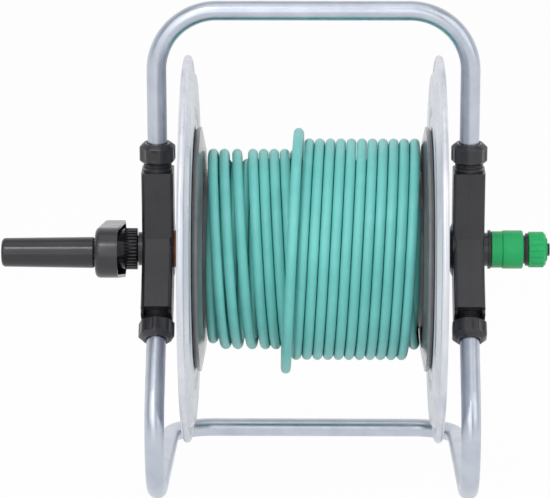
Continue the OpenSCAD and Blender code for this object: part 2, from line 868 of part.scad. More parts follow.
// Outline of the crank arm: two round ends joined along their common tangents. The straight
// sides lie a hair inside the tangents, so that they cut the round ends and don't just touch them.
module arm_outline(r1, r2) {
    lean = asin((r1 - r2) / crank_throw);
    a = (r1 - tangent_inset) * [sin(lean), cos(lean)];
    b = (r2 - tangent_inset) * [sin(lean), cos(lean)];
    circle(r = r1, $fn = fine);
    translate([crank_throw, 0]) circle(r = r2, $fn = fine);
    polygon([
        a, [crank_throw + b[0], b[1]], [crank_throw + b[0], -b[1]], [a[0], -a[1]]
    ]);
}

// Puts its children on the crank's side: local Z runs outwards, local X along the arm
module on_crank(x) {
    on_side(-1) on_axis(x) rotate([0, 0, 180 - crank_angle]) children();
}

module crank_arm() {
    color(moulded_black) difference() {
        union() {
            difference() {
                on_crank(arm_in) linear_extrude(arm_depth) arm_outline(arm_hub_r, arm_tip_r);
                on_crank(arm_in - 1) linear_extrude(arm_depth - arm_plate + 1)
                    arm_outline(arm_hub_r - arm_wall, arm_tip_r - arm_wall);
            }
            on_crank(crank_boss_in) cylinder(r = crank_boss_r, h = arm_out - crank_boss_in - 1,
                $fn = fine);
            on_crank(arm_out - arm_plate - tip_boss_h) translate([crank_throw, 0, 0])
                cylinder(r = tip_boss_r, h = tip_boss_h + 1, $fn = fine);
            for (side = [-1, 1]) on_crank(arm_out - arm_plate - arm_rib_depth)
                translate([crank_boss_r - arm_wall, side * arm_rib_at - arm_rib_w / 2, 0])
                    cube([crank_throw - crank_boss_r, arm_rib_w, arm_rib_depth + 1]);
            on_crank(square_from) cylinder(r = shaft_r, h = crank_boss_in - square_from + 1,
                $fn = fine);
            on_crank(square_to) rotate([0, 0, crank_angle - 180])
                translate([-square_side / 2, -square_side / 2, 0])
                    cube([square_side, square_side, square_from - square_to + 1]);
        }
        on_crank(square_to - 1) cylinder(r = screw_hole, h = arm_out);
        on_crank(arm_out - screw_sink) cylinder(r = screw_sink_r, h = arm_out, $fn = fine);
        on_crank(arm_out - arm_plate - tip_boss_h - 1) translate([crank_throw, 0, 0])
            cylinder(r = spindle_r + fit, h = arm_out, $fn = fine);
    }
}

module crank_screw() {
    head_h = screw_sink - 1;
    color(fastener_steel) on_side(-1) difference() {
        union() {
            rod(screw_to, arm_out - screw_sink + 1, screw_r);
            rod(arm_out - screw_sink, arm_out - screw_sink + head_h, screw_head_r);
        }
        on_axis(arm_out - screw_sink + head_h / 2) cylinder(r = hex_r, h = head_h, $fn = 6);
    }
}

module crank_nut() {
    color(fastener_steel) on_side(-1) on_axis(sleeve_to) difference() {
        cylinder(r = nut_af_r, h = nut_h - slack, $fn = 6);
        translate([0, 0, -1]) cylinder(r = screw_r + fit, h = nut_h + 2);
    }
}

module grip_spindle() {
    from = arm_out - arm_plate - tip_boss_h;
    head = spindle_head_at;
    color(fastener_steel) on_crank(0) translate([crank_throw, 0, 0]) {
        translate([0, 0, from - rivet_h]) cylinder(r = rivet_r, h = rivet_h, $fn = fine);
        translate([0, 0, from - eps]) cylinder(r = spindle_r, h = head - from + 1, $fn = fine);
        translate([0, 0, head]) cylinder(r = spindle_head_r, h = spindle_head_h, $fn = fine);
    }
}

module grip() {
    end = grip_end - cap_h;
    r = grip_d / 2;
    shoulder = spindle_head_at - head_gap;
    color(deep_black) on_crank(0) translate([crank_throw, 0, 0]) rotate_extrude($fn = fine)
        polygon([
            [spindle_r + fit, grip_in], [r - grip_edge, grip_in], [r, grip_in + grip_edge],
            [r - grip_taper, end], [cap_r, end], [cap_r, shoulder],
            [spindle_r + fit, shoulder]
        ]);
}

module grip_cap() {
    r = grip_d / 2 - grip_taper;
    end = grip_end - cap_h;
    color(deep_black) on_crank(0) translate([crank_throw, 0, 0]) rotate_extrude($fn = fine) {
        polygon([
            [0, end - cap_spigot], [cap_r - fit, end - cap_spigot], [cap_r - fit, end],
            [r, end], for (a = [15:15:75]) [r - cap_h * (1 - cos(a)), end + cap_h * sin(a)],
            [r - cap_h, end + cap_h], [0, end + cap_h]
        ]);
    }
}

module connector_body() {
    color(deep_black) difference() {
        union() {
            rod(body_from, body_end, body_r);
            rod(body_flange_from, body_end, body_flange_r);
            rod(body_end - 1, thread_to, thread_r);
            rod(thread_to - 1, barb_to, barb_r);
        }
        rod(body_from - 1, body_step, mouth_r);
        rod(body_step - 1, tail_to + 1, tail_tip_r + fit);
        ring(ring_from, ring_to, ring_r, 1);
        rod(tail_to, barb_to + 1, barb_bore);
        ring(hose_room_from, thread_to + 1, hose_room_r, barb_r);
        for (i = [0:claw_count - 1]) claw_window(i, claw_from - slack, claw_to + slack,
            mouth_r - 1, body_r + 1, claw_a + 2);
    }
}

// A sector block around the axis, used for the claws and for their windows
module claw_window(i, from, to, r_in, r_out, angle) {
    on_axis(from) rotate([0, 0, i * 360 / claw_count - angle / 2])
        rotate_extrude(angle = angle, $fn = fine)
            translate([r_in, 0]) square([r_out - r_in, to - from]);
}

module connector_seal() {
    color(seal_black) ring(ring_from + fit, ring_to - fit, ring_r - fit, tail_tip_r + fit);
}

module lock_claws() {
    color(moulded_black) for (i = [0:claw_count - 1])
        claw_window(i, claw_from, claw_to, claw_in, body_r - slack, claw_a);
}

module release_collar() {
    r = collar_d / 2;
    color(fitting_green) on_axis(0) difference() {
        rotate_extrude($fn = fine) polygon([
            [body_r + fit, collar_from], [r - collar_mouth[0], collar_from],
            [r - collar_flank[0], collar_from + collar_mouth[1]],
            [r - collar_flank[0], collar_step - collar_flank[1]], [r, collar_step],
            [r, collar_to - edge], [r - edge, collar_to], [body_r + fit, collar_to]
        ]);
        for (a = [notch_at:90:360]) rotate([0, 0, a])
            translate([r - notch_depth, -notch_w / 2, collar_step - notch_back])
                cube([2, notch_w, notch_h]);
    }
}

module clamp_nut() {
    r = clamp_d / 2;
    color(fitting_green) on_axis(0) difference() {
        rotate_extrude($fn = fine) polygon([
            [thread_r + slack, clamp_from], [r - clamp_edge, clamp_from], [r, clamp_from + clamp_edge],
            [r, clamp_body_to - clamp_cone], [r - clamp_cone, clamp_body_to],
            [clamp_throat_r + clamp_lip, clamp_body_to], [clamp_throat_r + clamp_lip, clamp_to],
            [clamp_throat_r, clamp_to], [clamp_throat_r, thread_to + 1],
            [thread_r + slack, thread_to + 1]
        ]);
        flutes(r, clamp_from + 2 * edge, clamp_to - clamp_from);
    }
}

upper_bow();
base_bow();
bracket_left();
bracket_right();
upper_nut_left();
upper_nut_right();
lower_nut_left();
lower_nut_right();
upper_collet_left();
upper_collet_right();
lower_collet_left();
lower_collet_right();
crank_bush();
inlet_bush();
inlet_nipple();
nipple_clip();
swivel_seals();
disc_left();
disc_right();
spool_left();
spool_right();
tie_bolts();
tie_nuts();
hub_elbow();
inner_hose();
hose_clamp();
hose_core();
hose_winding();
end_nut();
end_plug();
crank_arm();
crank_screw();
crank_nut();
grip_spindle();
grip();
grip_cap();
connector_body();
connector_seal();
lock_claws();
release_collar();
clamp_nut();
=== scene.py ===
"""Looks of a free-standing garden hose reel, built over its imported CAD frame.

The bent tube frame, brackets, drum, grip and hose connector keep their CAD shapes and get the
finishes of the real materials. The wound hose with its inner layer, the ring nuts, the crank
arm's soft edge, the necks' threads and the crank hub's ribs are modelled here with bmesh
operators. Lengths are in millimetres until a mesh is finished, and in metres on the finished piece.
"""

import logging
import math
from dataclasses import dataclass, field
from enum import Enum
from typing import Any, Callable, ClassVar, Sequence

import bmesh
import bpy
from mathutils import Matrix, Vector


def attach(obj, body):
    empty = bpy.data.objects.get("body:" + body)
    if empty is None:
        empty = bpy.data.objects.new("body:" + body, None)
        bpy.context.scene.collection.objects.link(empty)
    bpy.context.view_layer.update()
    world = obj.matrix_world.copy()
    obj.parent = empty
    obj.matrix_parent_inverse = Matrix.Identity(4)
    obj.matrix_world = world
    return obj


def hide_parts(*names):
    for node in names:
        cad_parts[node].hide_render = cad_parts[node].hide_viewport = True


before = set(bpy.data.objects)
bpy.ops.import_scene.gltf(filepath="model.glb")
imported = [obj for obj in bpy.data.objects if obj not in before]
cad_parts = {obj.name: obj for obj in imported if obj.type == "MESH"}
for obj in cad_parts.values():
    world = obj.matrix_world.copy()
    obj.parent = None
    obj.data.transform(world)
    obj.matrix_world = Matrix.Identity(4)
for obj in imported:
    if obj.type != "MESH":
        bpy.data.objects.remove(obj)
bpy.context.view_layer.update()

log = logging.getLogger("hose_reel")

MM = 0.001  # metres in a millimetre
HUB_Z = 240.0  # the drum axis's height above the floor, in mm
END_ROUND = 0.14  # the round of a tube's cut edge, as a share of its radius


class Body(Enum):
    """The CAD bodies that the pieces modelled here ride on."""

    FRAME = "frame"
    DRUM = "drum"


class Pattern(Enum):
    """How the making of a surface left its finest marks."""

    SPARKED = "even grain of an eroded mould"
    ROLLED = "long thin lines of rolled or drawn metal"
    POLISHED = "soft waves of a polished mould"


def linear(code: str) -> tuple[float, float, float, float]:
    """Turns an sRGB hex colour into linear RGBA.

    Args:
        code: The colour as six hex digits, such as "8FA0B0".

    Returns:
        Red, green, blue and an alpha of 1, all linear.
    """
    parts = [int(code[i:i + 2], 16) / 255 for i in (0, 2, 4)]
    red, green, blue = (p / 12.92 if p <= 0.04045 else ((p + 0.055) / 1.055) ** 2.4 for p in parts)
    return red, green, blue, 1.0


def add(tree: bpy.types.NodeTree, kind: str, values: dict[str | int, Any] | None = None,
        links: dict[str | int, bpy.types.NodeSocket] | None = None) -> bpy.types.Node:
    """Adds one node with its settings and links.

    Args:
        tree: The node tree that gets the node.
        kind: The node's type name without its "ShaderNode" start.
        values: Input values by name or place, and node properties by name; "stops" fills a
            colour ramp.
        links: The sockets that feed the node's inputs, by the input's name or place.

    Returns:
        The new node.
    """
    new = tree.nodes.new("ShaderNode" + kind)
    for key, value in (values or {}).items():
        if key == "stops":
            stops = new.color_ramp.elements
            stops[0].position, stops[0].color = value[0]
            stops[1].position, stops[1].color = value[-1]
            for place, colour in value[1:-1]:
                stops.new(place).color = colour
        elif isinstance(key, int) or key in new.inputs:
            new.inputs[key].default_value = value
        else:
            setattr(new, key, value)
    for key, source in (links or {}).items():
        tree.links.new(source, new.inputs[key])
    return new


def per(size_mm: float) -> float:
    """The scale of a texture in metres whose features are size_mm wide."""
    return 1.0 / (size_mm * MM)


def ease(t: float) -> float:
    """Rises smoothly from 0 to 1 while t does, and keeps level outside."""
    return (1 - math.cos(math.pi * max(0.0, min(1.0, t)))) / 2


@dataclass(frozen=True)
class Finish:
    """One real surface: its shades, its gloss and the marks its making left.

    dark and light are the shades it wanders between in clouds of cloud_mm; rough is the range of
    its roughness; grain_mm and grain_depth_mm are its finest marks; run turns the pattern's long
    axis, for marks that follow the rolling or drawing; subsurface is the share of the light that
    goes in, and glow_mm how far red, green and blue get.

    The constants are the same for all finishes: the noise values between which the shade and the
    roughness change, the smears' size as a share of the clouds', and the strength of the marks.
    """

    SHADES: ClassVar[tuple[float, float]] = (0.32, 0.68)
    SMEARS: ClassVar[tuple[float, float]] = (0.3, 0.7)
    SMEAR_SHARE: ClassVar[float] = 0.4
    MARKS: ClassVar[float] = 0.6

    name: str
    dark: str
    light: str
    rough: tuple[float, float]
    pattern: Pattern
    cloud_mm: float = 25.0
    grain_mm: float = 1.2
    grain_depth_mm: float = 0.05
    metallic: float = 0.0
    ior: float = 1.5
    run: tuple[float, float, float] = (1.0, 1.0, 1.0)
    subsurface: float = 0.0
    glow_mm: tuple[float, float, float] = (1.5, 2.5, 2.2)

    def material(self) -> bpy.types.Material:
        """Builds the finish as a material of Object-coordinate patterns.

        Returns:
            The material, named for the real stuff.
        """
        made = bpy.data.materials.get(self.name)
        if made is not None:
            return made
        made = bpy.data.materials.new(self.name)
        made.use_nodes = True
        tree = made.node_tree
        tree.nodes.clear()
        place = add(tree, "TexCoord").outputs["Object"]
        stretched = add(tree, "Mapping", {"Scale": self.run}, {"Vector": place}).outputs["Vector"]
        clouds = add(tree, "TexNoise",
                     {"Scale": per(self.cloud_mm), "Detail": 4.0, "Roughness": 0.55},
                     {"Vector": stretched}).outputs["Fac"]
        stops = list(zip(self.SHADES, (linear(self.dark), linear(self.light))))
        shade = add(tree, "ValToRGB", {"stops": stops}, {"Fac": clouds}).outputs["Color"]
        smear = add(tree, "TexNoise",
                    {"Scale": per(self.cloud_mm * self.SMEAR_SHARE), "Detail": 5.0},
                    {"Vector": stretched}).outputs["Fac"]
        rough = add(tree, "MapRange",
                    {"From Min": self.SMEARS[0], "From Max": self.SMEARS[1],
                     "To Min": self.rough[0], "To Max": self.rough[1]},
                    {"Value": smear}).outputs["Result"]
        bump = add(tree, "Bump", {"Strength": self.MARKS, "Distance": self.grain_depth_mm * MM},
                   {"Height": self.grain(tree, place, stretched)}).outputs["Normal"]
        values: dict[str | int, Any] = {"Metallic": self.metallic}
        if self.metallic < 0.5:
            values["IOR"] = self.ior
        if self.subsurface:
            values |= {"Subsurface Weight": self.subsurface, "Subsurface Scale": MM,
                       "Subsurface Radius": self.glow_mm}
        shader = add(tree, "BsdfPrincipled", values,
                     {"Base Color": shade, "Roughness": rough, "Normal": bump})
        add(tree, "OutputMaterial", links={"Surface": shader.outputs["BSDF"]})
        return made

    def grain(self, tree: bpy.types.NodeTree, place: bpy.types.NodeSocket,
              stretched: bpy.types.NodeSocket) -> bpy.types.NodeSocket:
        """Adds the finest marks of the surface.

        Args:
            tree: The material's node tree.
            place: Object coordinates.
            stretched: Object coordinates drawn out along the run of the marks.

        Returns:
            The height of the marks, about 0 to 1.
        """
        if self.pattern is Pattern.SPARKED:
            return add(tree, "TexVoronoi", {"Scale": per(self.grain_mm)},
                       {"Vector": place}).outputs["Distance"]
        source = stretched if self.pattern is Pattern.ROLLED else place
        return add(tree, "TexNoise", {"Scale": per(self.grain_mm), "Detail": 3.0, "Roughness": 0.5},
                   {"Vector": source}).outputs["Fac"]


# Electro-galvanised drawn steel tube: satin, bluish, with faint clouds where the zinc took.
ZINC_TUBE = Finish("galvanised_drawn_tube", "B9C0CC", "C8CED8", (0.28, 0.36), Pattern.POLISHED,
                   cloud_mm=26.0, grain_mm=6.0, grain_depth_mm=0.02, metallic=1.0)
# Zinc-plated rolled sheet, pressed and passivated: a pale film dulls half of the metal's mirror.
ZINC_SHEET = Finish("passivated_zinc_sheet", "CBCED6", "E4E6EC", (0.26, 0.4), Pattern.ROLLED,
                    cloud_mm=26.0, grain_mm=5.0, grain_depth_mm=0.008, metallic=0.45,
                    run=(1.0, 1.0, 0.1))
# Zinc-plated screws, nuts and spindle: small bright turned parts.
ZINC_FASTENER = Finish("zinc_plated_fastener", "B4B6BA", "CDCFD1", (0.22, 0.32), Pattern.POLISHED,
                       cloud_mm=6.0, grain_mm=1.5, grain_depth_mm=0.01, metallic=1.0)
# Glass-filled nylon from a sparked mould: charcoal, satin, with an even fine grain.
NYLON = Finish("sparked_nylon", "252529", "2F2F34", (0.2, 0.28), Pattern.SPARKED,
               cloud_mm=40.0, grain_mm=1.0, grain_depth_mm=0.02, ior=1.53)
# Acetal fittings: denser black, smoother, because water runs through them.
ACETAL = Finish("moulded_acetal", "18181A", "202022", (0.28, 0.4), Pattern.POLISHED,
                cloud_mm=12.0, grain_mm=3.0, grain_depth_mm=0.02, ior=1.48)
# Polished polypropylene grip: glossy black with the slight waves of a polished mould.
GRIP = Finish("polished_polypropylene", "242427", "2B2B2F", (0.14, 0.2), Pattern.POLISHED,
              cloud_mm=26.0, grain_mm=12.0, grain_depth_mm=0.03, ior=1.49)
# Grey polypropylene spool: mid grey, smooth, and milky enough to glow where the flange is thin.
SPOOL = Finish("grey_polypropylene", "747577", "808183", (0.14, 0.22), Pattern.POLISHED,
               cloud_mm=34.0, grain_mm=9.0, grain_depth_mm=0.01, ior=1.49, subsurface=0.4,
               glow_mm=(6.0, 6.0, 6.0))
# Flexible PVC garden hose: teal, satin and slightly waxy, so light goes a little way in.
HOSE_PVC = Finish("flexible_pvc_hose", "66BEB8", "76CDC7", (0.34, 0.44), Pattern.POLISHED,
                  cloud_mm=60.0, grain_mm=5.0, grain_depth_mm=0.03, ior=1.53, subsurface=0.2)
# Orange acetal bush: self-coloured, satin from turning against the shaft.
BUSH = Finish("orange_acetal", "A84F24", "BC5D2D", (0.34, 0.44), Pattern.POLISHED,
              cloud_mm=10.0, grain_mm=2.0, grain_depth_mm=0.02, ior=1.48)
# Green ABS of the snap connector: bright and semi-gloss.
GREEN_ABS = Finish("green_abs", "0CA65C", "12B063", (0.32, 0.4), Pattern.POLISHED,
                   cloud_mm=20.0, grain_mm=5.0, grain_depth_mm=0.02, ior=1.45)
# Nitrile seals: dull black rubber.
SEAL = Finish("nitrile_rubber", "141414", "1C1C1C", (0.6, 0.75), Pattern.SPARKED,
              cloud_mm=5.0, grain_mm=0.6, grain_depth_mm=0.03, ior=1.52)


def dress(finish: Finish, *names: str) -> None:
    """Gives CAD nodes, which keep their shape, a finish.

    Args:
        finish: The finish that the real pieces have.
        names: The nodes' names.
    """
    for name in names:
        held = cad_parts[name]
        if not held.material_slots:
            held.data.materials.append(None)
        for place in held.material_slots:
            place.material = finish.material()
    log.info("%s on %s", finish.name, ", ".join(names))


def finished(name: str, bm: bmesh.types.BMesh, finish: Finish, body: Body,
             sharp: float = 40.0) -> bpy.types.Object:
    """Turns a bmesh in millimetres into a piece in metres that rides on a body.

    Args:
        name: The piece's name.
        bm: The shape, in millimetres in the row frame; it is freed.
        finish: What the piece is made of.
        body: The CAD body that carries it.
        sharp: The angle in degrees above which an edge stays sharp.

    Returns:
        The piece's object, at the origin.
    """
    bmesh.ops.scale(bm, vec=(MM, MM, MM), verts=bm.verts)
    mesh = bpy.data.meshes.new(name)
    bm.to_mesh(mesh)
    bm.free()
    mesh.shade_smooth()
    mesh.set_sharp_from_angle(angle=math.radians(sharp))
    mesh.materials.append(finish.material())
    piece = bpy.data.objects.new(name, mesh)
    bpy.context.scene.collection.objects.link(piece)
    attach(piece, body.value)
    log.info("%s: %d faces", name, len(mesh.polygons))
    return piece


def swept(path: Sequence[Vector], outward: Callable[[Vector], Vector], radius: float,
          sides: int) -> bmesh.types.BMesh:
    """Runs a circle along a path as one closed tube with round-edged ends.

    Args:
        path: The centre line's points.
        outward: Gives the direction, at a point, that the first side of the circle faces.
        radius: The tube's radius.
        sides: How many sides the circle has.

    Returns:
        The tube's bmesh.
    """
    bm = bmesh.new()
    ring = bmesh.ops.create_circle(bm, cap_ends=True, radius=radius, segments=sides)["verts"]
    flat = [v.co.copy() for v in ring]
    edges = bm.edges[:]
    last = len(path) - 1
    for i, point in enumerate(path):
        along = (path[min(i + 1, last)] - path[max(i - 1, 0)]).normalized()
        out = outward(point)
        out = (out - out.dot(along) * along).normalized()
        place = Matrix.Translation(point) @ Matrix(
            (out, along.cross(out), along)).transposed().to_4x4()
        if i:
            grown = bmesh.ops.extrude_edge_only(bm, edges=edges)["geom"]
            fresh = {g for g in grown if isinstance(g, bmesh.types.BMVert)}
            edges = [g for g in grown if isinstance(g, bmesh.types.BMEdge)
                     and all(v in fresh for v in g.verts)]
            ring = [next(e.other_vert(v) for e in v.link_edges if e.other_vert(v) in fresh)
                    for v in ring]
        for v, co in zip(ring, flat):
            v.co = place @ co
    bmesh.ops.contextual_create(bm, geom=ring)
    ends = [e for f in bm.faces if len(f.verts) == sides for e in f.edges]
    bmesh.ops.bevel(bm, geom=ends, offset=radius * END_ROUND, segments=2, profile=0.5,
                    affect="EDGES", material=-1)
    bmesh.ops.recalc_face_normals(bm, faces=bm.faces)
    return bm


def turned(profile: Sequence[tuple[float, float]], steps: int) -> bmesh.types.BMesh:
    """Spins a closed outline around local Z, as a lathe does.

    Args:
        profile: The outline's corners as (radius, height), all off the axis.
        steps: How many steps the full turn has.

    Returns:
        The ring's bmesh, with its faces pointing outwards.
    """
    bm = bmesh.new()
    corners = [bm.verts.new((r, 0.0, z)) for r, z in profile]
    loop = [bm.edges.new((a, b)) for a, b in zip(corners, corners[1:] + corners[:1])]
    bmesh.ops.spin(bm, geom=corners + loop, cent=(0, 0, 0), axis=(0, 0, 1), angle=2 * math.pi,
                   steps=steps, use_merge=True)
    bmesh.ops.recalc_face_normals(bm, faces=bm.faces)
    return bm


def bar(size: tuple[float, float, float], middle: tuple[float, float, float],
        edge: float) -> bmesh.types.BMesh:
    """Makes a small bar with round edges.

    Args:
        size: Its extents along X, Y and Z.
        middle: Where its middle lies.
        edge: The radius of its edges.

    Returns:
        The bar's bmesh.
    """
    bm = bmesh.new()
    bmesh.ops.create_cube(bm, size=1.0)
    bmesh.ops.scale(bm, vec=size, verts=bm.verts)
    bmesh.ops.bevel(bm, geom=bm.edges[:], offset=edge, segments=2, profile=0.5, affect="EDGES",
                    material=-1)
    bmesh.ops.translate(bm, vec=middle, verts=bm.verts)
    return bm


def around(bm: bmesh.types.BMesh, count: int) -> bmesh.types.BMesh:
    """Repeats a shape evenly around local Z."""
    bmesh.ops.spin(bm, geom=bm.verts[:] + bm.edges[:] + bm.faces[:], cent=(0, 0, 0),
                   axis=(0, 0, 1), angle=2 * math.pi * (count - 1) / count, steps=count - 1,
                   use_duplicate=True)
    return bm


def on_axis(x: float, side: int = 1) -> Matrix:
    """Local Z runs outwards along the drum's axis from the station x, on the side 1 or -1."""
    return Matrix.Translation((side * x, 0.0, HUB_Z)) @ Matrix.Rotation(
        side * math.pi / 2, 4, "Y")


@dataclass
class WoundHose:
    """The hose on the drum, one tube: a close inner layer, two groups of turns and a loose one.

    Turns are counted from the first crossing of the drum's top in the visible layer. The left
    group starts at left_first and goes right by left_steps. After link_turns the hose is at the
    right flange and climbs a layer for the right group, which goes back to the left, and then it
    climbs once more for the loose turn of tail_turns, whose end lifts by end_lift into its nut.
    A station is where the hose crosses the top, and sway is how far it strays at the bottom.
    """

    diameter: float = 9.8
    pitch: float = 10.3
    layer_r: float = 93.6
    layer_step: float = 10.3
    sway: float = 7.5
    left_first: float = -98.0
    left_steps: tuple[float, ...] = (11.0, 12.6, 15.5, 10.3, 10.3, 10.3, 10.3)
    link_turns: float = 2.5
    climb: float = 0.5
    right_first: float = 99.0
    flange_nudge: float = 1.2
    flange_nudge_turn: float = 0.2
    right_turns: int = 11
    start_turn: float = -0.75
    start_drop: float = 9.7
    tail_turns: float = 0.625
    end_climb: float = 0.3
    end_lift: float = 6.6
    inner_turns: float = 19.1
    rings: int = 52
    sides: int = 16
    plan: list[tuple[float, float]] = field(init=False)

    def __post_init__(self) -> None:
        """Lays out where each turn stands along the axis."""
        self.left_turns = len(self.left_steps)
        self.right_from = self.left_turns + self.link_turns + self.climb
        self.top_turn = self.right_from + self.right_turns
        self.end_turn = self.top_turn + self.tail_turns
        inner = self.start_turn - self.inner_turns
        beyond = self.end_turn + 1
        self.plan = [(inner, self.left_first + self.inner_turns * self.pitch),
                     (self.start_turn, self.left_first)]
        self.plan += [(i, self.left_first + sum(self.left_steps[:i]))
                      for i in range(self.left_turns + 1)]
        self.plan += [
            (self.left_turns + self.link_turns, self.right_first + self.flange_nudge),
            (self.right_from - self.flange_nudge_turn, self.right_first + self.flange_nudge),
            (self.right_from, self.right_first),
            (beyond, self.right_first - (beyond - self.right_from) * self.pitch),
        ]

    def station(self, turn: float) -> float:
        """Where the hose is along the axis after that many turns, in mm."""
        for (t0, x0), (t1, x1) in zip(self.plan, self.plan[1:]):
            if turn <= t1:
                return x0 + (x1 - x0) * (turn - t0) / (t1 - t0)
        return self.plan[-1][1]

    def lean(self, turn: float) -> int:
        """Which way the turn leans: 1 for the left group, -1 for the right one, 0 between them."""
        if turn < 0 or self.left_turns < turn <= self.right_from:
            return 0
        return 1 if turn <= self.left_turns else -1

    def point(self, turn: float) -> Vector:
        """The hose's centre after that many turns.

        Args:
            turn: The number of turns from the first top crossing.

        Returns:
            The point in mm in the row frame.
        """
        a = 2 * math.pi * turn
        r = self.layer_r - self.start_drop * (1 - ease((turn - self.start_turn) / self.climb))
        r += self.layer_step * (ease((turn - self.right_from + self.climb) / self.climb)
                                + ease((turn - self.top_turn + self.climb) / self.climb))
        r += self.end_lift * ease((turn - self.end_turn + self.end_climb) / self.end_climb)
        x = self.station(turn) + self.lean(turn) * self.sway * (1 - math.cos(a)) / 2
        return Vector((x, -r * math.sin(a), HUB_Z + r * math.cos(a)))

    def build(self) -> None:
        """Models the hose in one length and dresses the fitting on its free end."""
        first = self.start_turn - self.inner_turns
        count = round((self.end_turn - first) * self.rings)
        path = [self.point(first + (self.end_turn - first) * i / count) for i in range(count + 1)]
        a = 2 * math.pi * self.end_turn
        path.append(path[-1] + self.diameter * Vector((0.0, -math.cos(a), -math.sin(a))))
        bm = swept(path, lambda p: Vector((0.0, p.y, p.z - HUB_Z)), self.diameter / 2, self.sides)
        hose = finished("wound_hose", bm, HOSE_PVC, Body.DRUM, sharp=60.0)
        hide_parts("hose_winding", "hose_core")
        length = sum((q - p).length for p, q in zip(path, path[1:]))
        log.info("the hose is %.2f m long", length * MM)
        dress(HOSE_PVC, "inner_hose")
        dress(GREEN_ABS, "end_nut")
        dress(ACETAL, "end_plug")


@dataclass
class TubeFrame:
    """The carrying bow and the base bow with their brackets, ring nuts and collets.

    A nut's outline is given as (radius, height) from its bracket end. Beyond the radius grip_r it
    has flats, whose corners are rounded off by corner_round. Each flat has a pad, a shallow hollow
    pad_half degrees to either side that fades out over pad_fade degrees. A thread ridge's outline
    is given as (radius, height) too, and the threads' places are distances from the drum's axis.
    """

    leg_x: float = 151.5
    bow_lean: float = 9.0
    leg_lean: float = 36.0
    upper_nut_at: float = 88.5
    lower_nut_at: float = 79.5
    nut_r: float = 18.0
    nut_flats: int = 8
    nut_steps: int = 96
    upper_turns: tuple[float, float] = (14.0, 38.0)
    lower_turns: tuple[float, float] = (5.0, 22.5)
    outline: tuple[tuple[float, float], ...] = (
        (13.15, 0.0), (14.0, 0.0), (14.5, 0.15), (17.6, 2.3), (17.95, 2.9), (18.0, 3.6),
        (18.0, 5.2), (18.0, 6.6), (18.0, 8.7), (18.0, 10.8), (18.0, 12.9), (18.0, 14.3),
        (18.0, 15.6), (17.9, 16.2), (17.4, 16.8), (13.6, 19.6), (12.9, 20.0), (10.6, 20.0),
        (9.95, 19.5), (9.95, 18.75), (10.95, 18.75), (12.65, 15.15), (13.15, 15.15))
    grip_r: float = 14.2
    corner_round: float = 0.55
    corner_power: int = 6
    pad_depth: float = 0.55
    pad_from: float = 5.0
    pad_to: float = 14.6
    pad_half: float = 11.0
    pad_fade: float = 2.5
    pad_skin: float = 0.2
    ridge: tuple[tuple[float, float], ...] = (
        (12.9, 0.0), (13.75, 0.35), (13.75, 0.6), (12.9, 0.95))
    ridge_steps: int = 72
    thread_pitch: float = 1.6
    upper_thread_at: float = 84.9
    upper_ridges: int = 2
    lower_thread_at: float = 77.4
    lower_ridges: int = 1

    def leg(self, side: int, lower: bool, along: float) -> Matrix:
        """The place on a leg at a distance from the axis, with local Z away from the axis."""
        lean = math.pi - math.radians(self.leg_lean) if lower else math.radians(self.bow_lean)
        return (Matrix.Translation((side * self.leg_x, 0.0, HUB_Z))
                @ Matrix.Rotation(lean, 4, "X") @ Matrix.Translation((0.0, 0.0, along)))

    def nut(self, name: str, side: int, lower: bool) -> None:
        """Models a ring nut with soft flats and the shallow pads that fingers hold.

        Args:
            name: The CAD node that it stands for.
            side: -1 on the left and 1 on the right.
            lower: Whether it sits on the base's leg.
        """
        turn = (self.lower_turns if lower else self.upper_turns)[(side + 1) // 2]
        along = self.lower_nut_at if lower else self.upper_nut_at
        half = math.pi / self.nut_flats
        bm = turned(self.outline, self.nut_steps)
        for v in bm.verts:
            r = v.co.xy.length
            if r < self.grip_r:
                continue
            off = (math.atan2(v.co.y, v.co.x) - math.radians(turn)) % (2 * half) - half
            flat = self.nut_r * math.cos(half) / math.cos(off)
            edge = self.corner_round * (abs(off) / half) ** self.corner_power
            flat = min(flat, self.nut_r - edge)
            fade = (self.pad_half - math.degrees(abs(off))) / self.pad_fade
            if self.pad_from < v.co.z < self.pad_to and r > self.nut_r - self.pad_skin:
                flat -= self.pad_depth * min(1.0, max(0.0, fade))
            share = min(1.0, (r - self.grip_r) / (self.nut_r - self.grip_r))
            v.co.xy *= (r - (self.nut_r - flat) * share) / r
        bmesh.ops.transform(bm, matrix=self.leg(side, lower, along), verts=bm.verts)
        piece = finished("moulded_" + name, bm, NYLON, Body.FRAME, sharp=50.0)
        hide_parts(name)

    def threads(self, name: str, side: int, lower: bool) -> None:
        """Lays the thread's ridges on a bracket's neck, where they show beside the nut.

        Args:
            name: The ridges' name, before their number.
            side: -1 on the left and 1 on the right.
            lower: Whether the neck is the base's.
        """
        along = self.lower_thread_at if lower else self.upper_thread_at
        for i in range(self.lower_ridges if lower else self.upper_ridges):
            bm = turned(self.ridge, self.ridge_steps)
            bmesh.ops.transform(bm, matrix=self.leg(side, lower, along + i * self.thread_pitch),
                                verts=bm.verts)
            finished(f"{name}_{i}", bm, NYLON, Body.FRAME, sharp=50.0)

    def build(self) -> None:
        """Dresses the frame's CAD pieces and models the nuts and the necks' threads."""
        dress(ZINC_TUBE, "upper_bow", "base_bow")
        dress(NYLON, "bracket_left", "bracket_right")
        for side, word in ((-1, "left"), (1, "right")):
            self.nut("upper_nut_" + word, side, False)
            self.nut("lower_nut_" + word, side, True)
            self.threads("upper_thread_" + word, side, False)
            self.threads("lower_thread_" + word, side, True)
            dress(ACETAL, "upper_collet_" + word, "lower_collet_" + word)
        dress(ACETAL, "inlet_bush", "inlet_nipple")
        dress(BUSH, "crank_bush")
        dress(ZINC_FASTENER, "nipple_clip")
        dress(SEAL, "swivel_seals")


